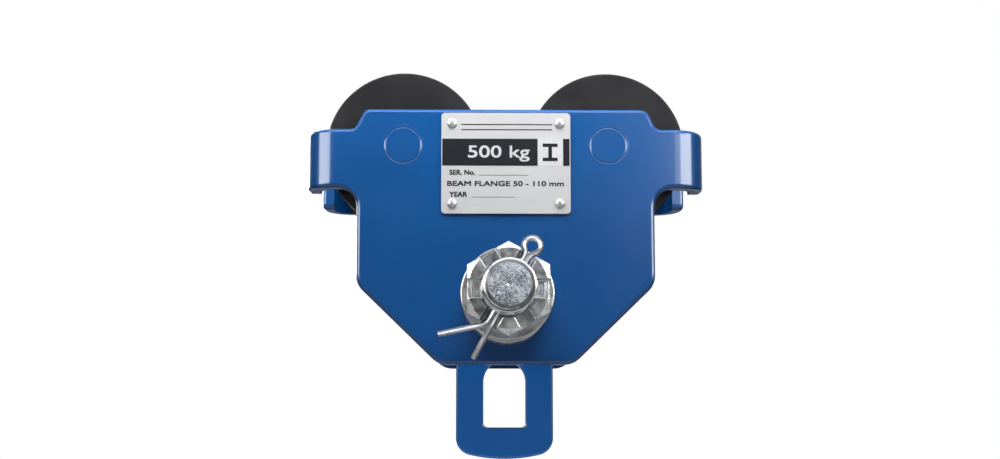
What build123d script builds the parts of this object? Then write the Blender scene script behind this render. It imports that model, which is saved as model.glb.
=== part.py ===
from build123d import *
import math
import os

# Push trolley for an overhead beam, 500 kg class. Millimetres.
# X runs along the beam, Y across it and Z up. The front faces -Y.
# The origin is midway between the four wheels, at the height where the treads rest on the
# edges of the beam's lower flange.

# Track and suspension
WHEELBASE = 94.8
AXLE_HEIGHT = 24.3
SHAFT_DROP = 47.1
PLATE_GAP = 73.0

# Side plates, pressed from sheet with their ends bent in towards the beam
PLATE_THICKNESS = 6.0
PLATE_TOP = 41.4
PLATE_BOTTOM = -76.7
BODY_HALF_WIDTH = 68.5
TOP_HALF_WIDTH = 65.4
SHOULDER_HALF_WIDTH = 69.8
BOTTOM_HALF_WIDTH = 30.7
SLOPE_TOP = -40.0
EAR_TOP = 32.1
EAR_BOTTOM = 4.5
EAR_HALF_LENGTH = 93.0
EAR_DEPTH = 20.8
BEND_RADIUS = 15.0
TOP_CORNER_RADIUS = 4.5
SHOULDER_RADIUS = 3.5
EAR_ROOT_RADIUS = 9.0
BODY_CORNER_RADIUS = 10.0
EAR_CORNER_RADIUS = 3.0
DIE_ROLL = 2.0
SHAFT_HOLE_RADIUS = 11.5
RING_MARK_CHAMFER = 0.35

# Nameplate and its four drive rivets
NAMEPLATE_WIDTH = 59.4
NAMEPLATE_HEIGHT = 46.9
NAMEPLATE_THICKNESS = 0.8
NAMEPLATE_CENTRE_Z = 15.8
NAMEPLATE_CORNER_RADIUS = 1.8
RIVET_HALF_SPACING_X = 24.8
RIVET_HALF_SPACING_Z = 18.6
RIVET_HEAD_RADIUS = 2.4
RIVET_HEAD_HEIGHT = 1.2
RIVET_SHANK_RADIUS = 1.25

# Suspension shaft, M22, with a castle nut and a split pin at each end
SHAFT_RADIUS = 11.0
SHAFT_PROTRUSION = 18.0
SHAFT_END_CHAMFER = 2.3
SHAFT_END_CHAMFER_LENGTH = 4.0
CENTRE_MARK_RADIUS = 1.3
NUT_ACROSS_FLATS = 34.0
NUT_HEIGHT = 24.0
NUT_CHAMFER_RADIUS = 16.5
NUT_CHAMFER_ANGLE = 30.0
NUT_COUNTERSINK = 1.2
SLOT_WIDTH = 7.6
SLOT_DEPTH = 8.0
NUT_EDGE_RADIUS = 0.4

# Spacers on the shaft: close-fitting thin washers, and thick collars of wide tube that hang low
WASHER_OUTER_RADIUS = 20.1
WASHER_BORE_RADIUS = 11.4
WASHER_THICKNESS = 3.0
COLLAR_OUTER_RADIUS = 19.0
COLLAR_BORE_RADIUS = 13.1
COLLAR_THICKNESS = 14.0
COLLAR_SAG = 2.0
SPACER_EDGE_RADIUS = 0.6

# Split pin, nominal 5 mm: one half-round wire folded to an eye
PIN_ANGLE = 61.0
PIN_HOLE_RADIUS = 2.6
WIRE_RADIUS = 2.3
WIRE_HALF_GAP = 0.05
EYE_DISTANCE = 20.3
EYE_INNER_RADIUS = 2.35
NECK_RADIUS = 5.0
STRAIGHT_LEG_END = 32.2
BENT_LEG_START = 14.5
BENT_LEG_RADIUS = 7.0
BENT_LEG_ANGLE = 49.0
BENT_LEG_LENGTH = 17.2

# Load plate hanging on the shaft
LOAD_PLATE_THICKNESS = 10.0
LOAD_PLATE_HALF_WIDTH = 23.5
LOAD_PLATE_BOTTOM = -121.2
LOAD_PLATE_BOTTOM_ARC = 74.0
LOAD_PLATE_CORNER_RADIUS = 8.4
LOAD_PLATE_EDGE_RADIUS = 1.2
LOAD_PLATE_BORE_RADIUS = 11.1
WINDOW_HALF_WIDTH = 10.25
WINDOW_ARC_CENTRE = -84.0
WINDOW_BOTTOM = -106.2
WINDOW_CORNER_RADIUS = 2.3
WINDOW_EDGE_RADIUS = 0.8

# Wheel, measured inwards from the side plate's inner face along the axle
WHEEL_OUTER_FACE = 4.0
WHEEL_INNER_FACE = 28.0
FLANGE_RADIUS = 36.65
FLANGE_THICKNESS = 5.5
TREAD_RADIUS_AT_FLANGE = 24.6
TREAD_RADIUS_INSIDE = 22.0
FLANGE_RIM_RADIUS = 1.0
TREAD_ROOT_RADIUS = 1.2
TREAD_END_CHAMFER = 0.8
DUST_BORE_RADIUS = 13.0

# Ball bearing, 15 x 35 x 11
BEARING_START = 13.0
BEARING_WIDTH = 11.0
BEARING_BORE_RADIUS = 7.5
BEARING_OUTER_RADIUS = 17.5
INNER_SHOULDER_RADIUS = 10.35
OUTER_SHOULDER_RADIUS = 14.7
PITCH_RADIUS = 12.5
BALL_COUNT = 8
BALL_RADIUS = 2.95
RACE_RADIUS = 3.08
CAGE_INNER_RADIUS = 11.5
CAGE_OUTER_RADIUS = 13.5
CAGE_WIDTH = 7.8
POCKET_RADIUS = 3.1
SHIELD_INNER_RADIUS = 10.9
SHIELD_THICKNESS = 0.4
SHIELD_INSET = 0.4

# Axle pin, riveted flush in the side plate
SPIGOT_RADIUS = 8.3
COLLAR_RADIUS = 11.0
AXLE_END = 26.6
AXLE_END_CHAMFER = 0.8

# Circlips
AXLE_GROOVE_RADIUS = 7.15
AXLE_GROOVE_WIDTH = 1.1
AXLE_CLIP_RADIUS = 9.4
AXLE_CLIP_THICKNESS = 1.0
AXLE_CLIP_EAR = (9.6, 2.0, 0.8, 16.0)
BORE_GROOVE_RADIUS = 18.5
BORE_GROOVE_WIDTH = 1.6
BORE_CLIP_RADIUS = 16.3
BORE_CLIP_THICKNESS = 1.5
BORE_CLIP_EAR = (15.6, 2.2, 0.9, 9.5)

# Worked out from the driving dimensions
INNER_Y = PLATE_GAP / 2
OUTER_Y = INNER_Y + PLATE_THICKNESS
STACK_LENGTH = 2 * COLLAR_THICKNESS + WASHER_THICKNESS
NUT_WASHER_Y = OUTER_Y + STACK_LENGTH
NUT_SEAT_Y = NUT_WASHER_Y + WASHER_THICKNESS
NUT_TOP_Y = NUT_SEAT_Y + NUT_HEIGHT
SHAFT_HALF_LENGTH = NUT_TOP_Y + SHAFT_PROTRUSION
PIN_Y = NUT_TOP_Y - SLOT_DEPTH / 2
BEARING_END = BEARING_START + BEARING_WIDTH
SHAFT_CENTRE = Vector(0, 0, -SHAFT_DROP)
TOUCH = 0.01


def mirrored(half_outline):
    """Close an outline from its right half, as (x, z, corner radius) from top to bottom."""
    left = [(-x, z, radius) for x, z, radius in reversed(half_outline)]
    return half_outline + left


def outline_face(corners, y):
    """A face in the plane of this y, facing the front, with rounded corners."""
    points = [(x, y, z) for x, z, _ in corners]
    radii = [radius for _, _, radius in corners]
    return make_face(FilletPolyline(*points, radius=radii, close=True))


def across(radius, start, end):
    """A cylinder along Y from start to end, on the Y axis."""
    length = end - start
    centre = (start + end) / 2
    return Pos(0, centre, 0) * Rot(90, 0, 0) * Cylinder(radius, length)


def turned(points):
    """A turned part from its (radius, y) profile, on the Y axis."""
    return revolve(make_face(Polyline(*points, close=True)), Axis.Y)


def on_axle(part, x, side):
    """Place a part made at the side plate's inner face on an axle; side is front or rear."""
    if side == "front":
        return Pos(x, -INNER_Y, AXLE_HEIGHT) * part
    return Pos(x, INNER_Y, AXLE_HEIGHT) * Rot(0, 0, 180) * part


def on_shaft(part):
    """Lower a part made on the Y axis to the suspension shaft."""
    return Pos(SHAFT_CENTRE) * part


def to_rear(part):
    """The same part at the other end, turned round the vertical axis."""
    return Rot(0, 0, 180) * part


# ---------------------------------------------------------------- side plates

def plate_blank():
    """The flat middle of a side plate, up to where its ears start to bend."""
    bend_start = EAR_HALF_LENGTH - BEND_RADIUS
    right_half = [
        (TOP_HALF_WIDTH, PLATE_TOP, TOP_CORNER_RADIUS),
        (SHOULDER_HALF_WIDTH, EAR_TOP, SHOULDER_RADIUS),
        (bend_start, EAR_TOP, 0),
        (bend_start, EAR_BOTTOM, 0),
        (BODY_HALF_WIDTH, EAR_BOTTOM, EAR_ROOT_RADIUS),
        (BODY_HALF_WIDTH, SLOPE_TOP, BODY_CORNER_RADIUS),
        (BOTTOM_HALF_WIDTH, PLATE_BOTTOM, BODY_CORNER_RADIUS),
    ]
    return extrude(outline_face(mirrored(right_half), -OUTER_Y), PLATE_THICKNESS, dir=(0, 1, 0))


def ear_bend():
    """The quarter bend and the leg of the right ear."""
    bend_start = EAR_HALF_LENGTH - BEND_RADIUS
    ear_height = EAR_TOP - EAR_BOTTOM
    ear_middle = (EAR_TOP + EAR_BOTTOM) / 2
    section_centre = Pos(bend_start, PLATE_THICKNESS / 2 - OUTER_Y, ear_middle)
    section = section_centre * (Plane.YZ * Rectangle(PLATE_THICKNESS, ear_height))
    bend_axis = Axis((bend_start, BEND_RADIUS - OUTER_Y, 0), (0, 0, 1))
    bend = revolve(section, bend_axis, 90)
    leg_length = EAR_DEPTH - BEND_RADIUS
    leg_centre = Pos(
        EAR_HALF_LENGTH - PLATE_THICKNESS / 2,
        BEND_RADIUS - OUTER_Y + leg_length / 2,
        ear_middle,
    )
    leg = leg_centre * Box(PLATE_THICKNESS, leg_length, ear_height)
    free_corners = leg.edges().filter_by(Axis.X).group_by(Axis.Y)[-1]
    return bend + fillet(free_corners, EAR_CORNER_RADIUS)


def is_outer_edge(edge):
    """True for an edge round the outside face, which the die rolls over."""
    middle = edge.position_at(0.5)
    bend_start = EAR_HALF_LENGTH - BEND_RADIUS
    reach = abs(middle.X)
    depth = middle.Y + OUTER_Y
    if reach <= bend_start + TOUCH:
        return depth < TOUCH and bend_start - reach > TOUCH
    if depth >= BEND_RADIUS - TOUCH:
        return EAR_HALF_LENGTH - reach < TOUCH and depth - BEND_RADIUS > TOUCH
    from_axis = math.hypot(reach - bend_start, depth - BEND_RADIUS)
    return abs(from_axis - BEND_RADIUS) < TOUCH


def side_plate():
    """The front side plate with its ears, without holes."""
    right_ear = ear_bend()
    left_ear = mirror(right_ear, Plane.YZ)
    plate = plate_blank() + right_ear + left_ear
    outer_edges = plate.edges().filter_by(is_outer_edge)
    return fillet(outer_edges, DIE_ROLL)


def axle_hole():
    """The hole for an axle pin's spigot, with the shallow ring that shows outside."""
    return turned([
        (0, -PLATE_THICKNESS),
        (SPIGOT_RADIUS + RING_MARK_CHAMFER, -PLATE_THICKNESS),
        (SPIGOT_RADIUS, RING_MARK_CHAMFER - PLATE_THICKNESS),
        (SPIGOT_RADIUS, 0),
        (0, 0),
    ])


def drilled_plate():
    """A side plate with its shaft hole and two axle holes."""
    plate = side_plate() - on_shaft(across(SHAFT_HOLE_RADIUS, -OUTER_Y - 1, -INNER_Y + 1))
    for x in (-WHEELBASE / 2, WHEELBASE / 2):
        plate -= on_axle(axle_hole(), x, "front")
    return plate


# ------------------------------------------------------------------ nameplate

def rivet_places():
    """Where the nameplate's rivets go, on the side plate's outer face."""
    return [
        Pos(x, -OUTER_Y, NAMEPLATE_CENTRE_Z + z)
        for x in (-RIVET_HALF_SPACING_X, RIVET_HALF_SPACING_X)
        for z in (-RIVET_HALF_SPACING_Z, RIVET_HALF_SPACING_Z)
    ]


def rivet_holes(depth):
    """The rivets' holes, from the face of the nameplate to this depth in the side plate."""
    hole = across(RIVET_SHANK_RADIUS, -NAMEPLATE_THICKNESS, depth)
    return [place * hole for place in rivet_places()]


def nameplate():
    """The thin plate that carries the marking."""
    half_width = NAMEPLATE_WIDTH / 2
    half_height = NAMEPLATE_HEIGHT / 2
    radius = NAMEPLATE_CORNER_RADIUS
    right_half = [
        (half_width, NAMEPLATE_CENTRE_Z + half_height, radius),
        (half_width, NAMEPLATE_CENTRE_Z - half_height, radius),
    ]
    face = outline_face(mirrored(right_half), -OUTER_Y)
    return extrude(face, NAMEPLATE_THICKNESS, dir=(0, -1, 0)) - rivet_holes(0)


def rivets():
    """Four dome-headed drive rivets."""
    face_y = -NAMEPLATE_THICKNESS
    top_y = face_y - RIVET_HEAD_HEIGHT
    dome = ThreePointArc(
        (0, top_y),
        (RIVET_HEAD_RADIUS * 0.71, face_y - RIVET_HEAD_HEIGHT * 0.66),
        (RIVET_HEAD_RADIUS, face_y),
    )
    rest = Polyline(
        (RIVET_HEAD_RADIUS, face_y),
        (RIVET_SHANK_RADIUS, face_y),
        (RIVET_SHANK_RADIUS, PLATE_THICKNESS),
        (0, PLATE_THICKNESS),
        (0, top_y),
    )
    rivet = revolve(make_face(dome + rest), Axis.Y)
    return [place * rivet for place in rivet_places()]


# ------------------------------------------------------- shaft, nuts and pins

def pin_direction():
    """Unit vector of the split pin's hole, towards the eye."""
    angle = math.radians(PIN_ANGLE)
    return Vector(math.cos(angle), 0, math.sin(angle))


def pin_hole():
    """The split pin's hole across the shaft, at the front end."""
    hole = Rot(0, 90 - PIN_ANGLE, 0) * Cylinder(PIN_HOLE_RADIUS, 3 * SHAFT_RADIUS)
    return Pos(0, -PIN_Y, 0) * hole


def suspension_shaft():
    """The round shaft that joins the two side plates and carries the load plate."""
    shaft = turned([
        (0, -SHAFT_HALF_LENGTH),
        (SHAFT_RADIUS - SHAFT_END_CHAMFER, -SHAFT_HALF_LENGTH),
        (SHAFT_RADIUS, SHAFT_END_CHAMFER_LENGTH - SHAFT_HALF_LENGTH),
        (SHAFT_RADIUS, SHAFT_HALF_LENGTH - SHAFT_END_CHAMFER_LENGTH),
        (SHAFT_RADIUS - SHAFT_END_CHAMFER, SHAFT_HALF_LENGTH),
        (0, SHAFT_HALF_LENGTH),
    ])
    centre_mark = turned([
        (0, -SHAFT_HALF_LENGTH),
        (CENTRE_MARK_RADIUS, -SHAFT_HALF_LENGTH),
        (0, CENTRE_MARK_RADIUS - SHAFT_HALF_LENGTH),
    ])
    end_cuts = [centre_mark, pin_hole()]
    rear_cuts = [to_rear(cut) for cut in end_cuts]
    return on_shaft(shaft - end_cuts - rear_cuts)


def nut_envelope():
    """The turned form that cuts the corners of the nut's two faces."""
    corner_radius = NUT_ACROSS_FLATS / math.sqrt(3) + 0.5
    drop = (corner_radius - NUT_CHAMFER_RADIUS) * math.tan(math.radians(NUT_CHAMFER_ANGLE))
    return turned([
        (0, -NUT_TOP_Y),
        (NUT_CHAMFER_RADIUS, -NUT_TOP_Y),
        (corner_radius, drop - NUT_TOP_Y),
        (corner_radius, -NUT_SEAT_Y - drop),
        (NUT_CHAMFER_RADIUS, -NUT_SEAT_Y),
        (0, -NUT_SEAT_Y),
    ])


def nut_bore():
    """The nut's bore, countersunk at its crown."""
    return turned([
        (0, -NUT_TOP_Y),
        (SHAFT_RADIUS + NUT_COUNTERSINK, -NUT_TOP_Y),
        (SHAFT_RADIUS, NUT_COUNTERSINK - NUT_TOP_Y),
        (SHAFT_RADIUS, -NUT_SEAT_Y),
        (0, -NUT_SEAT_Y),
    ])


def castle_nut():
    """A hexagon nut with six slots, each in the middle of a flat."""
    hexagon = RegularPolygon(NUT_ACROSS_FLATS / 2, 6, major_radius=False, rotation=30)
    prism = extrude(Plane.XZ.offset(NUT_SEAT_Y) * hexagon, NUT_HEIGHT)
    slot_bar = Pos(0, SLOT_DEPTH / 2 - NUT_TOP_Y, 0) * Box(2 * NUT_ACROSS_FLATS, SLOT_DEPTH, SLOT_WIDTH)
    slots = [Rot(0, angle, 0) * slot_bar for angle in (0, 60, 120)]
    nut = (prism & nut_envelope()) - nut_bore() - slots
    return on_shaft(fillet(nut.edges(), NUT_EDGE_RADIUS))


def pin_point(along, aside):
    """A point on the split pin's plane: distance towards the eye, and to the bent leg's side."""
    towards_eye = pin_direction()
    sideways = Vector(-towards_eye.Z, 0, towards_eye.X)
    return SHAFT_CENTRE + Vector(0, -PIN_Y, 0) + towards_eye * along + sideways * aside


def pin_path():
    """The line of the wire's flat side, from the straight leg's tip round the eye to the other."""
    neck_centre = WIRE_HALF_GAP + NECK_RADIUS
    to_eye = math.sqrt((NECK_RADIUS + EYE_INNER_RADIUS) ** 2 - neck_centre ** 2)
    neck_start = EYE_DISTANCE - to_eye
    share = EYE_INNER_RADIUS / (NECK_RADIUS + EYE_INNER_RADIUS)
    eye_along = EYE_DISTANCE - to_eye * share
    eye_aside = neck_centre * share
    half_turn = math.atan2(to_eye, neck_centre) / 2
    mid_along = neck_start + NECK_RADIUS * math.sin(half_turn)
    mid_aside = neck_centre - NECK_RADIUS * math.cos(half_turn)
    bend = math.radians(BENT_LEG_ANGLE)
    bend_centre = WIRE_HALF_GAP + BENT_LEG_RADIUS
    bend_middle = pin_point(
        -BENT_LEG_START - BENT_LEG_RADIUS * math.sin(bend / 2),
        bend_centre - BENT_LEG_RADIUS * math.cos(bend / 2),
    )
    end_along = -BENT_LEG_START - BENT_LEG_RADIUS * math.sin(bend)
    end_aside = bend_centre - BENT_LEG_RADIUS * math.cos(bend)
    bend_end = pin_point(end_along, end_aside)
    tip = pin_point(
        end_along - BENT_LEG_LENGTH * math.cos(bend),
        end_aside + BENT_LEG_LENGTH * math.sin(bend),
    )
    eye_far = pin_point(EYE_DISTANCE + EYE_INNER_RADIUS, 0)
    return Wire([
        Line(pin_point(-STRAIGHT_LEG_END, -WIRE_HALF_GAP), pin_point(neck_start, -WIRE_HALF_GAP)),
        ThreePointArc(
            pin_point(neck_start, -WIRE_HALF_GAP),
            pin_point(mid_along, -mid_aside),
            pin_point(eye_along, -eye_aside),
        ),
        ThreePointArc(pin_point(eye_along, -eye_aside), eye_far, pin_point(eye_along, eye_aside)),
        ThreePointArc(
            pin_point(eye_along, eye_aside),
            pin_point(mid_along, mid_aside),
            pin_point(neck_start, WIRE_HALF_GAP),
        ),
        Line(pin_point(neck_start, WIRE_HALF_GAP), pin_point(-BENT_LEG_START, WIRE_HALF_GAP)),
        ThreePointArc(pin_point(-BENT_LEG_START, WIRE_HALF_GAP), bend_middle, bend_end),
        Line(bend_end, tip),
    ])


def split_pin():
    """The half-round wire, swept along its flat side, at the front end."""
    start = Plane(pin_point(-STRAIGHT_LEG_END, -WIRE_HALF_GAP), x_dir=(0, 1, 0), z_dir=pin_direction())
    half_round = make_face(
        ThreePointArc((-WIRE_RADIUS, 0), (0, -WIRE_RADIUS), (WIRE_RADIUS, 0))
        + Line((WIRE_RADIUS, 0), (-WIRE_RADIUS, 0))
    )
    return sweep(start * half_round, path=pin_path())


# -------------------------------------------------------------------- spacers

def spacer(outer_radius, bore_radius, start, thickness):
    """A round spacer on the shaft, from this y towards the rear."""
    ring = across(outer_radius, start, start + thickness)
    ring = fillet(ring.edges(), SPACER_EDGE_RADIUS)
    return on_shaft(ring - across(bore_radius, start, start + thickness))


def washer(start):
    """A thin washer, used under the nut and to adjust the gap."""
    return spacer(WASHER_OUTER_RADIUS, WASHER_BORE_RADIUS, start, WASHER_THICKNESS)


def collar_pair(start):
    """Two thick collars side by side, hanging low on the shaft."""
    starts = (start, start + COLLAR_THICKNESS)
    return [
        Pos(0, 0, -COLLAR_SAG) * spacer(COLLAR_OUTER_RADIUS, COLLAR_BORE_RADIUS, place, COLLAR_THICKNESS)
        for place in starts
    ]


# ----------------------------------------------------------------- load plate

def load_plate_outline():
    """The hanging plate's outer outline: round at the shaft, gently bowed at the bottom."""
    half_width = LOAD_PLATE_HALF_WIDTH
    bow = LOAD_PLATE_BOTTOM_ARC - math.sqrt(LOAD_PLATE_BOTTOM_ARC ** 2 - half_width ** 2)
    corner_z = LOAD_PLATE_BOTTOM + bow
    y = -LOAD_PLATE_THICKNESS / 2
    top = ThreePointArc(
        (-half_width, y, -SHAFT_DROP),
        (0, y, half_width - SHAFT_DROP),
        (half_width, y, -SHAFT_DROP),
    )
    bottom = ThreePointArc(
        (half_width, y, corner_z),
        (0, y, LOAD_PLATE_BOTTOM),
        (-half_width, y, corner_z),
    )
    right = Line((half_width, y, -SHAFT_DROP), (half_width, y, corner_z))
    left = Line((-half_width, y, corner_z), (-half_width, y, -SHAFT_DROP))
    face = make_face(top + right + bottom + left)
    corners = face.vertices().group_by(Axis.Z)[0]
    return fillet(corners, LOAD_PLATE_CORNER_RADIUS)


def window_outline():
    """The window for the hoist's hook: round above, with small corners below."""
    half_width = WINDOW_HALF_WIDTH
    y = -LOAD_PLATE_THICKNESS / 2
    arch = ThreePointArc(
        (-half_width, y, WINDOW_ARC_CENTRE),
        (0, y, WINDOW_ARC_CENTRE + half_width),
        (half_width, y, WINDOW_ARC_CENTRE),
    )
    sill = Polyline(
        (half_width, y, WINDOW_ARC_CENTRE),
        (half_width, y, WINDOW_BOTTOM),
        (-half_width, y, WINDOW_BOTTOM),
        (-half_width, y, WINDOW_ARC_CENTRE),
    )
    face = make_face(arch + sill)
    corners = face.vertices().group_by(Axis.Z)[0]
    return fillet(corners, WINDOW_CORNER_RADIUS)


def is_window_rim(edge):
    """True for an edge where the window meets a face of the plate."""
    middle = edge.position_at(0.5)
    on_face = abs(abs(middle.Y) - LOAD_PLATE_THICKNESS / 2) < TOUCH
    at_sides = abs(middle.X) <= WINDOW_HALF_WIDTH + TOUCH
    above_sill = middle.Z >= WINDOW_BOTTOM - TOUCH
    below_arch = middle.Z <= WINDOW_ARC_CENTRE + WINDOW_HALF_WIDTH + TOUCH
    return on_face and at_sides and above_sill and below_arch


def load_plate():
    """The plate that swings on the shaft and takes the hoist's hook."""
    blank = extrude(load_plate_outline(), LOAD_PLATE_THICKNESS, dir=(0, 1, 0))
    rims = blank.edges().group_by(Axis.Y)
    blank = fillet(rims[0] + rims[-1], LOAD_PLATE_EDGE_RADIUS)
    window = extrude(window_outline(), LOAD_PLATE_THICKNESS, dir=(0, 1, 0))
    plate = blank - window
    plate = fillet(plate.edges().filter_by(is_window_rim), WINDOW_EDGE_RADIUS)
    bore = on_shaft(across(LOAD_PLATE_BORE_RADIUS, -LOAD_PLATE_THICKNESS, LOAD_PLATE_THICKNESS))
    return plate - bore


# --------------------------------------------------------- wheels and bearings

def wheel():
    """A flanged wheel with a tapered tread, bored for its bearing and circlip."""
    flange_end = WHEEL_OUTER_FACE + FLANGE_THICKNESS
    groove_end = BEARING_END + BORE_GROOVE_WIDTH
    profile = make_face(Polyline(
        (DUST_BORE_RADIUS, WHEEL_OUTER_FACE),
        (FLANGE_RADIUS, WHEEL_OUTER_FACE),
        (FLANGE_RADIUS, flange_end),
        (TREAD_RADIUS_AT_FLANGE, flange_end),
        (TREAD_RADIUS_INSIDE, WHEEL_INNER_FACE),
        (BEARING_OUTER_RADIUS, WHEEL_INNER_FACE),
        (BEARING_OUTER_RADIUS, groove_end),
        (BORE_GROOVE_RADIUS, groove_end),
        (BORE_GROOVE_RADIUS, BEARING_END),
        (BEARING_OUTER_RADIUS, BEARING_END),
        (BEARING_OUTER_RADIUS, BEARING_START),
        (DUST_BORE_RADIUS, BEARING_START),
        close=True,
    ))
    rim = profile.vertices().group_by(Axis.X)[-1]
    profile = fillet(rim, FLANGE_RIM_RADIUS)
    root = profile.vertices().sort_by_distance((TREAD_RADIUS_AT_FLANGE, flange_end, 0))[0]
    profile = fillet(root, TREAD_ROOT_RADIUS)
    end = profile.vertices().sort_by_distance((TREAD_RADIUS_INSIDE, WHEEL_INNER_FACE, 0))[0]
    profile = chamfer(end, TREAD_END_CHAMFER)
    return revolve(profile, Axis.Y)


def axle_pin():
    """The axle: a spigot in the side plate, a spacing collar and the bearing's journal."""
    groove_end = BEARING_END + AXLE_GROOVE_WIDTH
    return turned([
        (0, -PLATE_THICKNESS),
        (SPIGOT_RADIUS - RING_MARK_CHAMFER, -PLATE_THICKNESS),
        (SPIGOT_RADIUS, RING_MARK_CHAMFER - PLATE_THICKNESS),
        (SPIGOT_RADIUS, 0),
        (COLLAR_RADIUS, 0),
        (COLLAR_RADIUS, BEARING_START),
        (BEARING_BORE_RADIUS, BEARING_START),
        (BEARING_BORE_RADIUS, BEARING_END),
        (AXLE_GROOVE_RADIUS, BEARING_END),
        (AXLE_GROOVE_RADIUS, groove_end),
        (BEARING_BORE_RADIUS, groove_end),
        (BEARING_BORE_RADIUS, AXLE_END - AXLE_END_CHAMFER),
        (BEARING_BORE_RADIUS - AXLE_END_CHAMFER, AXLE_END),
        (0, AXLE_END),
    ])


def raceway():
    """The round groove's form that the balls run in, for both rings."""
    centre_y = BEARING_START + BEARING_WIDTH / 2
    return revolve(Pos(PITCH_RADIUS, centre_y) * Circle(RACE_RADIUS), Axis.Y)


def bearing_ring(inner_radius, outer_radius):
    """One ring of the bearing, with its raceway."""
    blank = across(outer_radius, BEARING_START, BEARING_END)
    return blank - across(inner_radius, BEARING_START, BEARING_END) - raceway()


def ball_places():
    """The balls' centres round the pitch circle."""
    centre_y = BEARING_START + BEARING_WIDTH / 2
    step = 360 / BALL_COUNT
    return [Pos(0, centre_y, 0) * Rot(0, step * i, 0) * Pos(PITCH_RADIUS, 0, 0) for i in range(BALL_COUNT)]


def balls():
    """The bearing's balls."""
    return [place * Sphere(BALL_RADIUS) for place in ball_places()]


def cage():
    """The ring that keeps the balls apart."""
    centre_y = BEARING_START + BEARING_WIDTH / 2
    start = centre_y - CAGE_WIDTH / 2
    end = centre_y + CAGE_WIDTH / 2
    ring = across(CAGE_OUTER_RADIUS, start, end) - across(CAGE_INNER_RADIUS, start, end)
    pocket = Rot(0, 90, 0) * Cylinder(POCKET_RADIUS, 2 * (CAGE_OUTER_RADIUS - CAGE_INNER_RADIUS))
    return ring - [place * pocket for place in ball_places()]


def shields():
    """The two thin discs held in the outer ring."""
    starts = (BEARING_START + SHIELD_INSET, BEARING_END - SHIELD_INSET - SHIELD_THICKNESS)
    return [
        across(OUTER_SHOULDER_RADIUS, start, start + SHIELD_THICKNESS)
        - across(SHIELD_INNER_RADIUS, start, start + SHIELD_THICKNESS)
        for start in starts
    ]


def circlip(inner_radius, outer_radius, thickness, ear):
    """A circlip against the bearing, with two eared ends at the bottom."""
    ear_distance, ear_radius, ear_hole_radius, ear_angle = ear
    end = BEARING_END + thickness
    ring = across(outer_radius, BEARING_END, end) - across(inner_radius, BEARING_END, end)
    half_gap = ear_distance * math.sin(math.radians(ear_angle)) - ear_radius
    ring -= Pos(0, BEARING_END, -outer_radius) * Box(2 * half_gap, 4 * thickness, outer_radius)
    for angle in (-ear_angle, ear_angle):
        place = Rot(0, angle, 0) * Pos(0, 0, -ear_distance)
        ring += place * across(ear_radius, BEARING_END, end)
        ring -= place * across(ear_hole_radius, BEARING_END, end)
    return ring


def axle_circlip():
    """The circlip that keeps the bearing on the axle pin."""
    return circlip(AXLE_GROOVE_RADIUS, AXLE_CLIP_RADIUS, AXLE_CLIP_THICKNESS, AXLE_CLIP_EAR)


def bore_circlip():
    """The circlip that keeps the bearing in the wheel."""
    return circlip(BORE_CLIP_RADIUS, BORE_GROOVE_RADIUS, BORE_CLIP_THICKNESS, BORE_CLIP_EAR)


# ------------------------------------------------------------------- assembly

def side_plate_nodes():
    """Both side plates, the nameplate and its rivets."""
    plate = drilled_plate()
    return {
        "front_side_plate": plate - rivet_holes(PLATE_THICKNESS),
        "rear_side_plate": to_rear(plate),
        "nameplate": nameplate(),
        "nameplate_rivets": rivets(),
    }


def shaft_nodes():
    """The shaft and everything that it carries, the same at both ends."""
    front = {
        "castle_nut": castle_nut(),
        "split_pin": split_pin(),
        "nut_washer": washer(-NUT_SEAT_Y),
        "outer_collars": collar_pair(-NUT_WASHER_Y),
        "outer_adjusting_washer": washer(-OUTER_Y - WASHER_THICKNESS),
        "inner_adjusting_washer": washer(-INNER_Y),
        "inner_collars": collar_pair(WASHER_THICKNESS - INNER_Y),
    }
    nodes = {"suspension_shaft": suspension_shaft(), "load_plate": load_plate()}
    for name, part in front.items():
        pieces = part if isinstance(part, list) else [part]
        nodes[f"front_{name}"] = pieces
        nodes[f"rear_{name}"] = [to_rear(piece) for piece in pieces]
    return nodes


def wheel_nodes():
    """The four wheels, each with its axle pin, bearing and circlips."""
    unit = {
        "wheel": wheel(),
        "axle_pin": axle_pin(),
        "bearing_inner_ring": bearing_ring(BEARING_BORE_RADIUS, INNER_SHOULDER_RADIUS),
        "bearing_outer_ring": bearing_ring(OUTER_SHOULDER_RADIUS, BEARING_OUTER_RADIUS),
        "bearing_balls": balls(),
        "bearing_cage": cage(),
        "bearing_shields": shields(),
        "axle_circlip": axle_circlip(),
        "bore_circlip": bore_circlip(),
    }
    nodes = {}
    for side in ("front", "rear"):
        for hand, x in (("left", -WHEELBASE / 2), ("right", WHEELBASE / 2)):
            for name, part in unit.items():
                pieces = part if isinstance(part, list) else [part]
                nodes[f"{side}_{hand}_{name}"] = [on_axle(piece, x, side) for piece in pieces]
    return nodes


def write_node(name, part):
    """Write one node's solids to its own STEP file."""
    pieces = part if isinstance(part, list) else [part]
    solids = [solid for piece in pieces for solid in piece.solids()]
    export_step(Compound(children=solids), f"parts/{name}.step")


os.makedirs("parts", exist_ok=True)
for node_name, node_part in {**side_plate_nodes(), **shaft_nodes(), **wheel_nodes()}.items():
    write_node(node_name, node_part)
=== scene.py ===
import math

import bmesh
import bpy
from mathutils import Matrix, Vector


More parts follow.
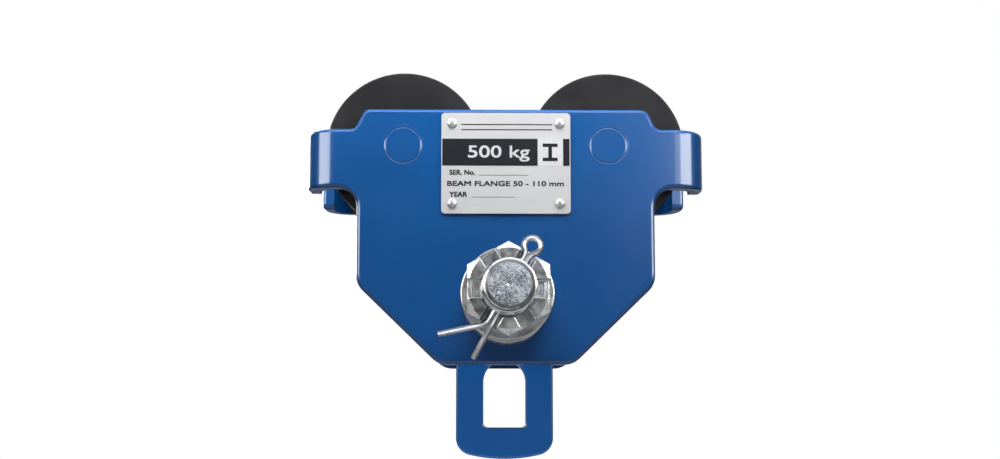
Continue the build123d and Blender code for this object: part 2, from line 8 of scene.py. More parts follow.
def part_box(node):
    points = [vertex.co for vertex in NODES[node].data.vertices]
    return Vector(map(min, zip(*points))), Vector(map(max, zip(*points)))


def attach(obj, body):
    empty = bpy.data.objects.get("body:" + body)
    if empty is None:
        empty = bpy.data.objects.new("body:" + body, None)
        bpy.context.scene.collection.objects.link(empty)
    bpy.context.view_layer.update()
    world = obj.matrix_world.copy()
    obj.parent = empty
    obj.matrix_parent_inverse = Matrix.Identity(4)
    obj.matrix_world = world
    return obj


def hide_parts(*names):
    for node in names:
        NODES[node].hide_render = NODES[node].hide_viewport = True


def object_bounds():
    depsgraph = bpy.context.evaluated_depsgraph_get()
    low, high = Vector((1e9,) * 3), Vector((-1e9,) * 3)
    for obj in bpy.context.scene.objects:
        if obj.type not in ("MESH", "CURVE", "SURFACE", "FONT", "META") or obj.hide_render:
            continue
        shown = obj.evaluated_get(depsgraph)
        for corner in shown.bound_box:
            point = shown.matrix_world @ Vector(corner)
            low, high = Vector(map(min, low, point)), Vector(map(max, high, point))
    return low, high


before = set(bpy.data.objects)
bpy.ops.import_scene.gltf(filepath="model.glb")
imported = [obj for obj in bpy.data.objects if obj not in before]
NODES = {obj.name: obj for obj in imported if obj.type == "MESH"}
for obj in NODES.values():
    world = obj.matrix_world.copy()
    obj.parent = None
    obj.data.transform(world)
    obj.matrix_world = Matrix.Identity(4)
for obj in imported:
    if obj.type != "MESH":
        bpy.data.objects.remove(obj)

MM = 0.001
CAD_BOX = [list(corner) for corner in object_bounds()]
SIDES = {"front": -1, "rear": 1}
CORNERS = [(side, hand) for side in SIDES for hand in ("left", "right")]


# ----------------------------------------------------------------------- places

SHAFT_LOW, SHAFT_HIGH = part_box("suspension_shaft")
SHAFT_Z = (SHAFT_LOW[2] + SHAFT_HIGH[2]) / 2
SHAFT_RADIUS = (SHAFT_HIGH[2] - SHAFT_LOW[2]) / 2
SHAFT_END = SHAFT_HIGH[1]
END_FACE = SHAFT_END - 0.02 * MM
COLLAR_LOW, COLLAR_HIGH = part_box("front_outer_collars")
COLLAR_Z = (COLLAR_LOW[2] + COLLAR_HIGH[2]) / 2
WHEEL_LOW, WHEEL_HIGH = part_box("front_right_wheel")
AXLE_X = (WHEEL_LOW[0] + WHEEL_HIGH[0]) / 2
AXLE_Z = (WHEEL_LOW[2] + WHEEL_HIGH[2]) / 2
PLATE_FACE = -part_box("front_side_plate")[0][1]
LABEL_LOW, LABEL_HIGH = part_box("nameplate")
NUT_SLOT_DEPTH = 8.0 * MM
SLOT_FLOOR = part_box("rear_castle_nut")[1][1] - NUT_SLOT_DEPTH


# ------------------------------------------------------------------ shader help

class Tree:
    """A node tree, with short calls for the nodes that the world and the materials share."""

    def __init__(self, tree, coordinates):
        self.tree = tree
        self.place = tree.nodes.new("ShaderNodeTexCoord").outputs[coordinates]

    def link(self, source, target):
        self.tree.links.new(source, target)

    def feed(self, value, socket):
        """Link an output to a socket, or set the socket to a number or colour."""
        if isinstance(value, bpy.types.NodeSocket):
            self.link(value, socket)
        else:
            socket.default_value = value

    def math(self, operation, first, second=0.0):
        node = self.tree.nodes.new("ShaderNodeMath")
        node.operation = operation
        self.feed(first, node.inputs[0])
        self.feed(second, node.inputs[1])
        return node.outputs[0]

    def axes(self):
        """The x, y and z of the point: metres in a material, a direction in the world."""
        node = self.tree.nodes.new("ShaderNodeSeparateXYZ")
        self.link(self.place, node.inputs[0])
        return node.outputs

    def spread(self, value, low, high, to_low=0.0, to_high=1.0):
        """Map low..high of a value smoothly to to_low..to_high."""
        node = self.tree.nodes.new("ShaderNodeMapRange")
        node.interpolation_type = "SMOOTHSTEP"
        for number, socket in zip((low, high, to_low, to_high), node.inputs[1:5]):
            socket.default_value = number
        self.link(value, node.inputs[0])
        return node.outputs[0]


class Shader(Tree):
    """A material's node tree, with calls for its textures, colours and bumps."""

    def __init__(self, name):
        self.material = bpy.data.materials.new(name)
        self.material.use_nodes = True
        super().__init__(self.material.node_tree, "Object")
        self.surface = self.tree.nodes["Principled BSDF"]

    def vector(self, x, y, z):
        node = self.tree.nodes.new("ShaderNodeCombineXYZ")
        for value, socket in zip((x, y, z), node.inputs):
            self.feed(value, socket)
        return node.outputs[0]

    def stretched(self, factors):
        """The surface point with each axis multiplied, for brushed and scratched noise."""
        node = self.tree.nodes.new("ShaderNodeMapping")
        node.inputs["Scale"].default_value = factors
        self.link(self.place, node.inputs["Vector"])
        return node.outputs[0]

    def noise(self, scale, detail=2.0, roughness=0.5, place=None):
        node = self.tree.nodes.new("ShaderNodeTexNoise")
        node.inputs["Scale"].default_value = scale
        node.inputs["Detail"].default_value = detail
        node.inputs["Roughness"].default_value = roughness
        self.link(place or self.place, node.inputs["Vector"])
        return node.outputs["Fac"]

    def from_axis(self, aside, above):
        """The distance from an axis along Y, given the two offsets from it."""
        squares = [self.math("MULTIPLY", offset, offset) for offset in (aside, above)]
        return self.math("SQRT", self.math("ADD", *squares))

    def lathe_marks(self, radius, y, fineness, detail, roughness):
        """Noise that changes only with the radius and along the axis, as turning marks do."""
        outward, along = (self.math("MULTIPLY", measure, fineness) for measure in (radius, y))
        return self.noise(1.0, detail, roughness, self.vector(outward, along, 0.0))

    def blend(self, factor, first, second):
        """Mix two colours."""
        node = self.tree.nodes.new("ShaderNodeMix")
        node.data_type = "RGBA"
        self.feed(factor, node.inputs["Factor"])
        self.feed(first, node.inputs[6])
        self.feed(second, node.inputs[7])
        return node.outputs[2]

    def bump(self, height, distance, strength, under=None):
        """A bump that stands out by the distance, in metres, where the height is 1."""
        node = self.tree.nodes.new("ShaderNodeBump")
        node.inputs["Strength"].default_value = strength
        node.inputs["Distance"].default_value = distance
        self.link(height, node.inputs["Height"])
        if under is not None:
            self.link(under, node.inputs["Normal"])
        return node.outputs["Normal"]

    def finish(self, **values):
        """Set the surface's sockets: names as in the Principled shader, with _ for spaces."""
        for name, value in values.items():
            self.feed(value, self.surface.inputs[name.replace("_", " ")])
        return self.material


# -------------------------------------------------------------------- materials

def blue_paint(name, deep, light):
    """Glossy blue powder coat: fine orange peel, slow colour drift and a few faint scuffs."""
    shader = Shader(name)
    drift = shader.spread(shader.noise(22.0, 3.0), 0.3, 0.7)
    base = shader.blend(drift, deep, light)
    scuff_lines = shader.noise(1.0, 4.0, 0.6, shader.stretched((90.0, 90.0, 900.0)))
    scuff_patch = shader.spread(shader.noise(35.0, 2.0), 0.55, 0.75)
    scuffs = shader.math("MULTIPLY", shader.spread(scuff_lines, 0.66, 0.74), scuff_patch)
    colour = shader.blend(shader.math("MULTIPLY", scuffs, 0.35), base, (0.02, 0.075, 0.20, 1))
    roughness = shader.spread(shader.noise(60.0, 4.0), 0.3, 0.7, 0.2, 0.25)
    waviness = shader.bump(shader.noise(70.0, 1.0), 0.0002, 0.2)
    peel = shader.bump(shader.noise(700.0, 2.0), 0.00004, 0.5, waviness)
    return shader.finish(Base_Color=colour, Roughness=roughness, Normal=peel,
                         Coat_Weight=0.5, Coat_Roughness=0.1)


def zinc_surface(name, end_face=None):
    """Bright zinc plate; where |y| passes end_face, in metres, a sawn and blasted end is grainy."""
    shader = Shader(name)
    drift = shader.spread(shader.noise(45.0, 3.0), 0.35, 0.65)
    bright = shader.blend(drift, (0.62, 0.64, 0.68, 1), (0.74, 0.74, 0.72, 1))
    stain = shader.spread(shader.noise(260.0, 5.0, 0.65), 0.45, 0.75)
    colour = shader.blend(stain, bright, (0.48, 0.49, 0.51, 1))
    roughness = shader.spread(shader.noise(220.0, 5.0, 0.6), 0.3, 0.7, 0.26, 0.40)
    fine = shader.bump(shader.noise(1300.0, 3.0, 0.6), 0.00003, 0.35)
    scratches = shader.noise(1.0, 3.0, 0.7, shader.stretched((2600.0, 300.0, 900.0)))
    normal = shader.bump(scratches, 0.00003, 0.35, fine)
    if end_face is not None:
        reach = shader.math("ABSOLUTE", shader.axes()["Y"])
        grainy = shader.spread(reach, end_face - 0.1 * MM, end_face)
        grain = shader.noise(2300.0, 3.0, 0.8)
        cloud = shader.spread(shader.noise(160.0, 2.0), 0.35, 0.65, -0.04, 0.04)
        sparkle = shader.spread(shader.math("ADD", grain, cloud), 0.38, 0.64)
        speckle = shader.blend(sparkle, (0.05, 0.058, 0.072, 1), (0.48, 0.51, 0.56, 1))
        colour = shader.blend(grainy, colour, speckle)
        roughness = shader.math("ADD", roughness, shader.math("MULTIPLY", grainy, 0.12))
        normal = shader.bump(shader.math("MULTIPLY", grain, grainy), 0.00022, 1.0, normal)
    return shader.finish(Base_Color=colour, Roughness=roughness, Normal=normal, Metallic=1.0)


def nut_zinc():
    """Zinc plate with the cutter's marks, like rings round the shaft, on the slot floors."""
    shader = Shader("nut_zinc")
    x, y, z = shader.axes()
    radius = shader.from_axis(x, shader.math("SUBTRACT", z, SHAFT_Z))
    marks = shader.noise(1.0, 2.0, 0.6, shader.vector(shader.math("MULTIPLY", radius, 1500.0), 0.0, 0.0))
    reach = shader.math("ABSOLUTE", y)
    milled = shader.spread(reach, SLOT_FLOOR, SLOT_FLOOR + 0.3 * MM, 1.0, 0.0)
    drift = shader.spread(shader.noise(45.0, 3.0), 0.35, 0.65)
    bright = shader.blend(drift, (0.64, 0.66, 0.70, 1), (0.78, 0.78, 0.76, 1))
    stain = shader.spread(shader.noise(300.0, 5.0, 0.7), 0.42, 0.68)
    colour = shader.blend(stain, bright, (0.40, 0.42, 0.45, 1))
    roughness = shader.spread(shader.noise(260.0, 5.0, 0.6), 0.3, 0.7, 0.26, 0.42)
    fine = shader.bump(shader.noise(1100.0, 3.0, 0.6), 0.00005, 0.5)
    normal = shader.bump(shader.math("MULTIPLY", marks, milled), 0.0003, 0.8, fine)
    return shader.finish(Base_Color=colour, Roughness=roughness, Normal=normal, Metallic=1.0)


def turned_zinc(name, axis_z):
    """Zinc plate over a lathe-turned face, for the collars and washers on the shaft."""
    shader = Shader(name)
    x, y, z = shader.axes()
    radius = shader.from_axis(x, shader.math("SUBTRACT", z, axis_z))
    rings = shader.lathe_marks(radius, y, 3500.0, 2.0, 0.6)
    drift = shader.spread(shader.noise(40.0, 3.0), 0.35, 0.65)
    bright = shader.blend(drift, (0.62, 0.64, 0.67, 1), (0.78, 0.77, 0.73, 1))
    stain = shader.spread(shader.noise(240.0, 4.0, 0.6), 0.5, 0.75)
    colour = shader.blend(stain, bright, (0.60, 0.61, 0.62, 1))
    roughness = shader.spread(shader.noise(180.0, 4.0), 0.3, 0.7, 0.22, 0.36)
    normal = shader.bump(shader.noise(1100.0, 2.0), 0.00003, 0.3, shader.bump(rings, 0.00003, 0.4))
    return shader.finish(Base_Color=colour, Roughness=roughness, Normal=normal, Metallic=1.0)


def wheel_black():
    """Blackened turned steel: close lathe rings round each axle under a dull film."""
    shader = Shader("wheel_black")
    x, y, z = shader.axes()
    aside = shader.math("SUBTRACT", shader.math("ABSOLUTE", x), AXLE_X)
    radius = shader.from_axis(aside, shader.math("SUBTRACT", z, AXLE_Z))
    rings = shader.lathe_marks(radius, y, 1800.0, 3.0, 0.65)
    film = shader.spread(shader.noise(55.0, 4.0, 0.6), 0.35, 0.7)
    colour = shader.blend(film, (0.0042, 0.0042, 0.0048, 1), (0.0068, 0.0068, 0.0076, 1))
    dulling = shader.math("MULTIPLY", film, 0.08)
    roughness = shader.math("ADD", shader.spread(rings, 0.3, 0.7, 0.36, 0.5), dulling)
    grain = shader.bump(shader.noise(1600.0, 2.0), 0.00003, 0.4)
    normal = shader.bump(rings, 0.00005, 0.45, grain)
    return shader.finish(Base_Color=colour, Roughness=roughness, Normal=normal, Specular_IOR_Level=0.2)


def plate_aluminium():
    """Satin aluminium with a faint brushing along the plate."""
    shader = Shader("plate_aluminium")
    brushing = shader.noise(1.0, 4.0, 0.6, shader.stretched((60.0, 60.0, 4200.0)))
    lines = shader.spread(brushing, 0.3, 0.7)
    colour = shader.blend(lines, (0.272, 0.275, 0.281, 1), (0.281, 0.284, 0.290, 1))
    roughness = shader.spread(shader.noise(130.0, 3.0), 0.3, 0.7, 0.42, 0.5)
    normal = shader.bump(brushing, 0.00001, 0.1)
    return shader.finish(Base_Color=colour, Roughness=roughness, Normal=normal, Metallic=0.25)


def ink(name, thin, thick):
    """Printed ink whose colour varies a little with the film's thickness."""
    shader = Shader(name)
    film = shader.spread(shader.noise(900.0, 3.0, 0.6), 0.3, 0.7)
    normal = shader.bump(shader.noise(1800.0, 2.0), 0.00002, 0.3)
    roughness = shader.spread(film, 0.0, 1.0, 0.38, 0.5)
    return shader.finish(Base_Color=shader.blend(film, thin, thick), Roughness=roughness, Normal=normal,
                         Specular_IOR_Level=0.2)


def rivet_steel():
    """Bright drive rivets with small handling marks."""
    shader = Shader("rivet_steel")
    marks = shader.noise(900.0, 3.0, 0.6)
    worn = shader.spread(marks, 0.4, 0.7)
    colour = shader.blend(worn, (0.42, 0.425, 0.43, 1), (0.32, 0.325, 0.33, 1))
    roughness = shader.spread(marks, 0.3, 0.7, 0.28, 0.38)
    return shader.finish(Base_Color=colour, Roughness=roughness, Metallic=0.7,
                         Normal=shader.bump(marks, 0.00003, 0.3))


def bearing_steel():
    """Ground bearing steel with close grinding lines."""
    shader = Shader("bearing_steel")
    lines = shader.noise(1.0, 2.0, 0.6, shader.stretched((900.0, 5000.0, 900.0)))
    film = shader.spread(shader.noise(90.0, 3.0), 0.3, 0.7)
    colour = shader.blend(film, (0.56, 0.57, 0.58, 1), (0.70, 0.70, 0.69, 1))
    roughness = shader.spread(lines, 0.3, 0.7, 0.12, 0.24)
    return shader.finish(Base_Color=colour, Roughness=roughness, Metallic=1.0,
                         Normal=shader.bump(lines, 0.00002, 0.3))


def axle_steel():
    """Turned carbon steel with a thin film of oil."""
    shader = Shader("axle_steel")
    lines = shader.noise(1.0, 3.0, 0.6, shader.stretched((400.0, 4500.0, 400.0)))
    film = shader.spread(shader.noise(120.0, 4.0, 0.6), 0.35, 0.7)
    colour = shader.blend(film, (0.46, 0.46, 0.46, 1), (0.33, 0.31, 0.28, 1))
    roughness = shader.spread(lines, 0.3, 0.7, 0.24, 0.38)
    return shader.finish(Base_Color=colour, Roughness=roughness, Metallic=1.0,
                         Normal=shader.bump(lines, 0.00004, 0.4))


def spring_steel():
    """Phosphated spring steel, nearly black."""
    shader = Shader("spring_steel")
    grain = shader.noise(1400.0, 3.0, 0.6)
    coating = shader.spread(grain, 0.3, 0.7)
    colour = shader.blend(coating, (0.030, 0.030, 0.032, 1), (0.060, 0.060, 0.062, 1))
    roughness = shader.spread(grain, 0.3, 0.7, 0.4, 0.55)
    return shader.finish(Base_Color=colour, Roughness=roughness, Metallic=0.7,
                         Normal=shader.bump(grain, 0.00003, 0.4))


def floor_white():
    """Matt off-white studio floor."""
    shader = Shader("floor_white")
    tone = shader.spread(shader.noise(3.0, 3.0), 0.3, 0.7)
    colour = shader.blend(tone, (0.84, 0.84, 0.84, 1), (0.87, 0.87, 0.87, 1))
    return shader.finish(Base_Color=colour, Roughness=shader.spread(tone, 0.0, 1.0, 0.7, 0.8))


# -------------------------------------------------------------------- mesh help

def add_piece(name, mesh, material, body):
    """Link a mesh as a piece of the object, on a body, with its material and slot."""
    piece = bpy.data.objects.new(name, mesh)
    bpy.context.scene.collection.objects.link(piece)
    mesh.materials.append(material)
    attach(piece, body)
    return piece


def smooth(mesh, angle):
    """Shade smooth, with edges sharper than the angle, in degrees, kept crisp."""
    mesh.shade_smooth()
    form = bmesh.new()
    form.from_mesh(mesh)
    for edge in form.edges:
        if len(edge.link_faces) == 2 and edge.calc_face_angle() > math.radians(angle):
            edge.smooth = False
    form.to_mesh(mesh)
    form.free()


def turned_mesh(name, rows, steps):
    """A closed solid round the Y axis from rows of (y, radius function of angle); metres."""
    form = bmesh.new()
    rings = []
    for y, radius_at in rows:
        ring = []
        for step in range(steps):
            angle = 2 * math.pi * step / steps
            radius = radius_at(angle)
            ring.append(form.verts.new((radius * math.cos(angle), y, radius * math.sin(angle))))
        rings.append(ring)
    for first, second in zip(rings, rings[1:]):
        for step in range(steps):
            after = (step + 1) % steps
            form.faces.new((first[step], first[after], second[after], second[step]))
    for ring, y in ((rings[0], rows[0][0]), (rings[-1], rows[-1][0])):
        centre = form.verts.new((0, y, 0))
        for step in range(steps):
            form.faces.new((ring[step], ring[(step + 1) % steps], centre))
    bmesh.ops.recalc_face_normals(form, faces=form.faces)
    mesh = bpy.data.meshes.new(name)
    form.to_mesh(mesh)
    form.free()
    return mesh


def constant(radius):
    """A row of one radius all round."""
    return lambda angle: radius


# ------------------------------------------------------------- suspension shaft

THREAD_PITCH = 2.5 * MM
THREAD_DEPTH = 1.45 * MM
THREAD_LENGTH = 44.0 * MM
THREAD_ROWS_PER_PITCH = 12
THREAD_STEPS = 96
CREST_HALF_WIDTH = 0.07
FLANK_WIDTH = 0.32
END_CHAMFER = 2.3 * MM
END_CHAMFER_LENGTH = 4.0 * MM
END_ROLL = 0.25 * MM
END_FACE_SHARES = (0.35, 0.7, 1.0)
CENTRE_MARK_RADIUS = 1.3 * MM
CENTRE_MARK_TIP_RADIUS = 0.05 * MM
CENTRE_MARK_DEPTH = 0.5 * MM
PIN_ANGLE = 61.0
PIN_HOLE_RADIUS = 2.6 * MM
PIN_HOLE_STEPS = 40
SHAFT_CREASE = 40.0


def thread_depth(turn):
    """How far below the crest the thread lies, after this many turns; widths are in pitches."""
    from_crest = abs(turn % 1.0 - 0.5)
    flank = min(max((from_crest - CREST_HALF_WIDTH) / FLANK_WIDTH, 0.0), 1.0)
    return THREAD_DEPTH * flank * flank * (3 - 2 * flank)


def thread_row(y):
    """A row of the thread at this y, which runs out inwards and is cut back by the end's chamfer."""
    from_end = SHAFT_END - abs(y)
    chamfered = SHAFT_RADIUS - END_CHAMFER * (1 - from_end / END_CHAMFER_LENGTH)
    runout = min(max((THREAD_LENGTH - from_end) / THREAD_PITCH, 0.0), 1.0)

    def radius_at(angle):
        turn = y / THREAD_PITCH + angle / (2 * math.pi)
        return min(SHAFT_RADIUS - thread_depth(turn) * runout, chamfered)

    return y, radius_at


def shaft_rows():
    """Every row of the shaft from the bottom of the front centre mark to the rear one's."""
    count = round(THREAD_LENGTH / THREAD_PITCH * THREAD_ROWS_PER_PITCH)
    step = THREAD_LENGTH / count
    face_radius = SHAFT_RADIUS - END_CHAMFER - END_ROLL
    face_radii = [CENTRE_MARK_RADIUS] + [face_radius * share for share in END_FACE_SHARES]
    front_face = [(-SHAFT_END + CENTRE_MARK_DEPTH, constant(CENTRE_MARK_TIP_RADIUS))]
    front_face += [(-SHAFT_END, constant(radius)) for radius in face_radii]
    rear_face = [(-y, radius_at) for y, radius_at in reversed(front_face)]
    thread_ys = [SHAFT_END - END_ROLL / 2 - step * i for i in range(count)]
    front_thread = [thread_row(-y) for y in thread_ys]
    rear_thread = [thread_row(y) for y in reversed(thread_ys)]
    return front_face + front_thread + rear_thread + rear_face


def pin_hole_cutter():
    """The split pins' two cross holes, as one mesh."""
    form = bmesh.new()
    for side, sense in SIDES.items():
        low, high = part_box(f"{side}_split_pin")
        y = (low[1] + high[1]) / 2
        turn = Matrix.Rotation(sense * math.radians(PIN_ANGLE - 90), 4, "Y")
        bmesh.ops.create_cone(form, cap_ends=True, segments=PIN_HOLE_STEPS, radius1=PIN_HOLE_RADIUS,
                              radius2=PIN_HOLE_RADIUS, depth=3 * SHAFT_RADIUS,
                              matrix=Matrix.Translation((0, y, 0)) @ turn)
    mesh = bpy.data.meshes.new("pin_hole_cutter")
    form.to_mesh(mesh)
    form.free()
    return mesh


def baked(piece):
    """The piece's mesh with its modifiers applied."""
    bpy.context.view_layer.update()
    graph = bpy.context.evaluated_depsgraph_get()
    return bpy.data.meshes.new_from_object(piece.evaluated_get(graph))


def threaded_shaft(material):
    """The suspension shaft with its threads, end chamfers, centre marks and pin holes."""
    mesh = turned_mesh("threaded_shaft", shaft_rows(), THREAD_STEPS)
    draft = bpy.data.objects.new("shaft_draft", mesh)
    cutter = bpy.data.objects.new("shaft_cutter", pin_hole_cutter())
    for piece in (draft, cutter):
        bpy.context.scene.collection.objects.link(piece)
    cut = draft.modifiers.new("holes", "BOOLEAN")
    cut.operation = "DIFFERENCE"
    cut.solver = "EXACT"
    cut.object = cutter
    mesh = baked(draft)
    for piece in (draft, cutter):
        bpy.data.objects.remove(piece)
    mesh.transform(Matrix.Translation((0, 0, SHAFT_Z)))
    smooth(mesh, SHAFT_CREASE)
    shaft = add_piece("threaded_shaft", mesh, material, "frame")
    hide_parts("suspension_shaft")


# ------------------------------------------------------------ painted axle ends

AXLE_END_STEPS = 96
AXLE_END_CREASE = 80.0

# How proud of the plate the paint stands at each radius, in millimetres: dome, groove, rim, skirt
AXLE_END_PROFILE = [
    (0.02, 2.0), (0.03, 5.0), (0.05, 6.6), (0.07, 7.5), (0.08, 7.9),
    (0.03, 8.1), (-0.10, 8.22), (-0.14, 8.35), (-0.10, 8.48), (0.03, 8.60),
    (0.06, 8.8), (0.03, 9.1), (-0.02, 9.4), (-0.3, 9.4),
]


def painted_axle_end(side, hand, material):
    """The paint over a riveted axle end, dipping into a groove round the joint with the plate."""
    low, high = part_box(f"{side}_{hand}_axle_pin")
    x = (low[0] + high[0]) / 2
    rows = []
    for proud, radius in AXLE_END_PROFILE:
        rows.append((SIDES[side] * (PLATE_FACE + proud * MM), constant(radius * MM)))
    mesh = turned_mesh(f"{side}_{hand}_axle_end_paint", rows, AXLE_END_STEPS)
    mesh.transform(Matrix.Translation((x, 0, AXLE_Z)))
    smooth(mesh, AXLE_END_CREASE)
    add_piece(mesh.name, mesh, material, "frame")


# -------------------------------------------------------------------- nameplate

INK_PROUD = 0.03 * MM
INK_SUNK = 0.01 * MM
PRINT_STEP = 0.1 * INK_SUNK
SMALL_CAPITAL = 2.4
SMALL_WEIGHT = 0.24


def label_point(across, down, proud):
    """A point on the nameplate, across and down from its upper left corner in millimetres.

    How proud it stands is in metres.
    """
    return Vector((LABEL_LOW[0] + across * MM, LABEL_LOW[1] - proud, LABEL_HIGH[2] - down * MM))


def ink_patch(form, left, top, right, bottom, proud=INK_PROUD):
    """Add a flat rectangle of ink to a bmesh, as a closed solid."""
    outline = ((right, top), (right, bottom), (left, bottom), (left, top))
    front = [form.verts.new(label_point(across, down, proud)) for across, down in outline]
    back = [form.verts.new(label_point(across, down, -INK_SUNK)) for across, down in outline]
    form.faces.new(front)
    form.faces.new(list(reversed(back)))
    for i in range(len(front)):
        after = (i + 1) % len(front)
        form.faces.new((front[i], back[i], back[after], front[after]))


def ink_piece(name, patches, material):
    """One piece of ink made of several patches."""
    form = bmesh.new()
    for patch in patches:
        ink_patch(form, *patch)
    bmesh.ops.recalc_face_normals(form, faces=form.faces)
    mesh = bpy.data.meshes.new(name)
    form.to_mesh(mesh)
    form.free()
    add_piece(name, mesh, material, "frame")


def letter_mesh(name, words):
    """The outline of some words as a solid mesh, 1 unit high and 1 thick."""
    curve = bpy.data.curves.new(name, "FONT")
    curve.body = words
    curve.extrude = 0.5
    curve.resolution_u = 4
    draft = bpy.data.objects.new(name + "_draft", curve)
    bpy.context.scene.collection.objects.link(draft)
    mesh = baked(draft)
    bpy.data.objects.remove(draft)
    return mesh


def lettering(name, words, left, baseline, width, height, material, proud, weight):
    """Generic words in raised ink, fitted to a width and a capital height in millimetres.

    Bold strokes come from four prints, this weight apart in millimetres.
    """
    form = bmesh.new()
    capital = letter_mesh("capital", "H")
    tall = max(vertex.co.y for vertex in capital.vertices)
    for number, (aside, above) in enumerate(((0, 0), (1, 0), (0, 1), (1, 1))):
        mesh = letter_mesh(name, words)
        xs = [vertex.co.x for vertex in mesh.vertices]
        left_end, right_end = min(xs), max(xs)
        for vertex in mesh.vertices:
            share = (vertex.co.x - left_end) / (right_end - left_end)
            across = left + share * (width - weight) + weight * aside
            down = baseline - vertex.co.y / tall * (height - weight) - weight * above
            top = proud + number * PRINT_STEP
            vertex.co = label_point(across, down, top if vertex.co.z > 0 else -INK_SUNK)
        form.from_mesh(mesh)
    mesh = bpy.data.meshes.new(name)
    form.to_mesh(mesh)
    form.free()
    add_piece(name, mesh, material, "frame")


def nameplate_print(black, white):
    """The print on the nameplate: a band with the rated load, a beam sign and blank fields.

    Patches are left, top, right and bottom, in millimetres from the plate's upper left corner.
    """
    width = (LABEL_HIGH[0] - LABEL_LOW[0]) / MM
    band_top, band_bottom = 12.1, 24.7
    ink_piece("label_band", [(0.4, band_top, width - 0.4, band_bottom)], black)
    lettering("label_load", "500 kg", 12.2, 20.9, 28.4, 5.6, white, 2 * INK_PROUD, 0.2)
    ink_piece("label_square", [(44.3, band_top, 56.0, band_bottom, 2 * INK_PROUD)], white)
    beam = [(46.6, 14.3, 53.5, 15.9), (49.2, 15.9, 50.9, 20.9), (46.6, 20.9, 53.5, 22.5)]
    ink_piece("label_beam_sign", [(*part, 3 * INK_PROUD) for part in beam], black)
    ink_piece("label_rules", [(9.0, 5.2, 51.0, 5.7), (9.0, 7.6, 51.0, 8.1)], black)
    small = (SMALL_CAPITAL, black, INK_PROUD, SMALL_WEIGHT)
    lettering("label_serial", "SER. No.", 3.7, 29.0, 11.8, *small)
    lettering("label_flange", "BEAM FLANGE 50 - 110 mm", 2.7, 34.2, 53.6, *small)
    lettering("label_year", "YEAR", 3.7, 39.2, 8.2, *small)
    fields = [(17.5, 29.0, 40.0, 29.2), (14.0, 39.2, 34.0, 39.4)]
    ink_piece("label_fields", fields, black)


# --------------------------------------------------------------------- finishes

def paint_nodes():
    """Give every CAD node its material; return those that the added pieces share."""
    paint = blue_paint("blue_paint", (0.0016, 0.0340, 0.122, 1), (0.0019, 0.0380, 0.136, 1))
    zinc = zinc_surface("zinc_plate")
    shaft_zinc = zinc_surface("shaft_zinc", END_FACE)
    washer_zinc = turned_zinc("washer_zinc", SHAFT_Z)
    collar_zinc = turned_zinc("collar_zinc", COLLAR_Z)
    black_wheel = wheel_black()
    bearing = bearing_steel()
    axle = axle_steel()
    spring = spring_steel()
    finish_of = {
        "side_plate": paint, "load_plate": paint, "nameplate": plate_aluminium(),
        "nameplate_rivets": rivet_steel(), "castle_nut": nut_zinc(), "split_pin": zinc,
        "nut_washer": washer_zinc, "collars": collar_zinc, "adjusting_washer": washer_zinc,
        "wheel": black_wheel, "axle_pin": axle, "circlip": spring,
        "inner_ring": bearing, "outer_ring": bearing, "balls": bearing, "cage": bearing,
        "shields": bearing, "suspension_shaft": shaft_zinc,
    }
    for name, node in NODES.items():
        ending = max((key for key in finish_of if name.endswith(key)), key=len)
        node.data.materials.clear()
        node.data.materials.append(finish_of[ending])
    return paint, shaft_zinc


# ----------------------------------------------------------------------- studio

ROOM_GLOW = 0.07
FLOOR_HALF = 3.0
FLOOR_DROP = 0.7
CAMERA_PLACE = (-10.2 * MM, -570.8 * MM, -90.3 * MM)
CAMERA_TILT = math.radians(90 + 5.17)
CAMERA_TURN = math.radians(-0.81)
SENSOR_WIDTH = 36.0
FOCAL_LENGTH = 41.89
FRAME_SHIFT = 0.06


def area_light(name, place, target, size, radiance, gloss=True, diffuse=True):
    """A soft rectangular light at a place, in metres, aimed at a target.

    Its power follows from its radiance. Without gloss no surface mirrors it, and without diffuse
    it only shows as a reflection.
    """
    lamp = bpy.data.lights.new(name, "AREA")
    lamp.shape = "RECTANGLE"
    lamp.size, lamp.size_y = size
    lamp.energy = radiance * math.pi * size[0] * size[1]
    holder = bpy.data.objects.new(name, lamp)
    holder.location = place
    direction = Vector(target) - Vector(place)
    holder.rotation_euler = direction.to_track_quat("-Z", "Y").to_euler()
    holder.visible_camera = False
    holder.visible_glossy = gloss
    holder.visible_diffuse = diffuse
    bpy.context.scene.collection.objects.link(holder)
    return holder


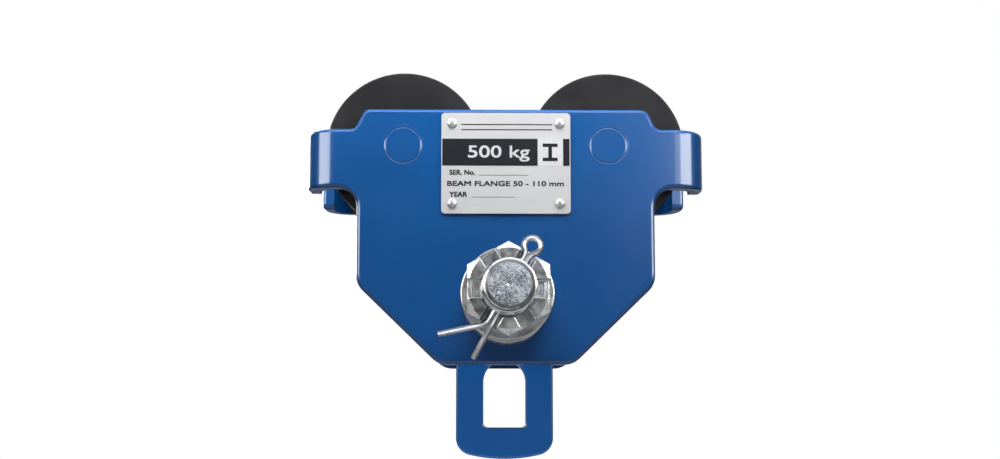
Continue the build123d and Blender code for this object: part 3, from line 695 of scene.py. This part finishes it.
def studio_world():
    """A studio that looks white, but is dim in front of the object and bright behind it."""
    world = bpy.data.worlds.new("studio")
    world.use_nodes = True
    bpy.context.scene.world = world
    sky = Tree(world.node_tree, "Generated")
    direction = sky.axes()
    y, z = direction["Y"], direction["Z"]
    ray = sky.tree.nodes.new("ShaderNodeLightPath").outputs
    seen = ray["Is Camera Ray"]

    # The ranges are parts of the ray's direction: y points to the rear, z up
    to_rear = sky.spread(y, 0.6, 0.8)
    to_front = sky.spread(y, -0.2, 0.1, 1.0, 0.0)
    rear_wall = sky.math("MULTIPLY", sky.spread(y, 0.6, 0.9, 0.0, 0.35), sky.spread(z, -0.16, -0.08))
    rear_floor = sky.math("MULTIPLY", sky.spread(z, -0.36, -0.26, 0.6, 0.0), to_rear)
    front_floor = sky.math("MULTIPLY", sky.spread(z, -0.5, -0.2, 0.5, 0.0), to_front)
    floors = sky.math("ADD", rear_floor, front_floor)
    boost = sky.math("ADD", sky.math("MULTIPLY", ray["Is Diffuse Ray"], 3.0), 1.0)
    ceiling = sky.math("MULTIPLY", sky.spread(z, 0.3, 0.9, 0.0, 0.25), boost)
    surroundings = sky.math("ADD", sky.math("ADD", rear_wall, floors), ceiling)
    room = sky.math("ADD", surroundings, ROOM_GLOW)
    unseen = sky.math("SUBTRACT", 1.0, seen)
    strength = sky.math("ADD", sky.math("MULTIPLY", room, unseen), seen)
    background = sky.tree.nodes["Background"]
    sky.link(strength, background.inputs["Strength"])
    background.inputs["Color"].default_value = (1, 1, 1, 1)


def studio_floor():
    """A pale floor below the hanging trolley."""
    level = CAD_BOX[0][2] - FLOOR_DROP
    mesh = bpy.data.meshes.new("studio_floor")
    corners = [(FLOOR_HALF * x, FLOOR_HALF * y, level) for x, y in ((-1, -1), (1, -1), (1, 1), (-1, 1))]
    mesh.from_pydata(corners, [], [(0, 1, 2, 3)])
    floor = bpy.data.objects.new("studio_floor", mesh)
    bpy.context.scene.collection.objects.link(floor)
    mesh.materials.append(floor_white())
    floor.visible_glossy = False


def light_only(lamp, node_name):
    """Keep a lamp to one CAD node, such as one that hangs in another's shade."""
    receivers = bpy.data.collections.new(lamp.name + "_receivers")
    receivers.objects.link(NODES[node_name])
    lamp.light_linking.receiver_collection = receivers


def studio():
    """World, floor and soft lights."""
    studio_world()
    studio_floor()
    middle = (0, -0.04, 0)
    area_light("left_softbox", (-0.88, -0.65, 0.26), (-0.08, -0.04, 0), (0.80, 0.52), 8.2, diffuse=False)
    area_light("right_softbox", (0.88, -0.65, 0.26), (0.08, -0.04, 0), (0.80, 0.52), 9.4, diffuse=False)
    area_light("right_panel", (0.46, -0.96, 0.25), (0.07, -0.04, 0), (0.46, 0.28), 3.2, diffuse=False)
    area_light("top_panel", (0, -0.45, 0.62), middle, (0.90, 0.35), 2.4, diffuse=False)
    area_light("rear_left_softbox", (-0.55, 0.90, 0.30), (0, 0.04, 0), (0.70, 0.55), 9.0)
    area_light("rear_right_softbox", (0.55, 0.90, 0.30), (0, 0.04, 0), (0.70, 0.55), 9.0, gloss=False)
    area_light("left_fill", (-0.80, -0.80, 0.05), middle, (0.70, 0.50), 0.4, gloss=False)
    area_light("right_fill", (0.80, -0.80, 0.05), middle, (0.70, 0.50), 0.4, gloss=False)
    area_light("low_fill", (0, -1.00, -0.30), middle, (0.60, 0.30), 0.9, gloss=False)
    area_light("overhead", (0, -0.15, 0.25), (0, -0.04, 0.02), (0.44, 0.15), 25.0, gloss=False)
    lamp = area_light("load_plate_fill", (0, -0.80, -0.50), (0, 0, -0.10), (0.60, 0.25), 31.0, gloss=False)
    light_only(lamp, "load_plate")
    bpy.context.scene.view_settings.view_transform = "Standard"


def camera():
    """The camera in front of the trolley, a little below its middle and looking up slightly."""
    lens = bpy.data.cameras.new("camera")
    lens.sensor_width = SENSOR_WIDTH
    lens.lens = FOCAL_LENGTH
    lens.shift_y = FRAME_SHIFT
    holder = bpy.data.objects.new("camera", lens)
    holder.location = CAMERA_PLACE
    holder.rotation_euler = (CAMERA_TILT, 0, CAMERA_TURN)
    bpy.context.scene.collection.objects.link(holder)
    bpy.context.scene.camera = holder


camera()
studio()
paint, shaft_zinc = paint_nodes()
threaded_shaft(shaft_zinc)
for side, hand in CORNERS:
    painted_axle_end(side, hand, paint)
nameplate_print(
    ink("black_ink", (0.0035, 0.0037, 0.0060, 1), (0.0055, 0.0058, 0.0085, 1)),
    ink("white_ink", (0.262, 0.265, 0.272, 1), (0.298, 0.301, 0.308, 1)),
)
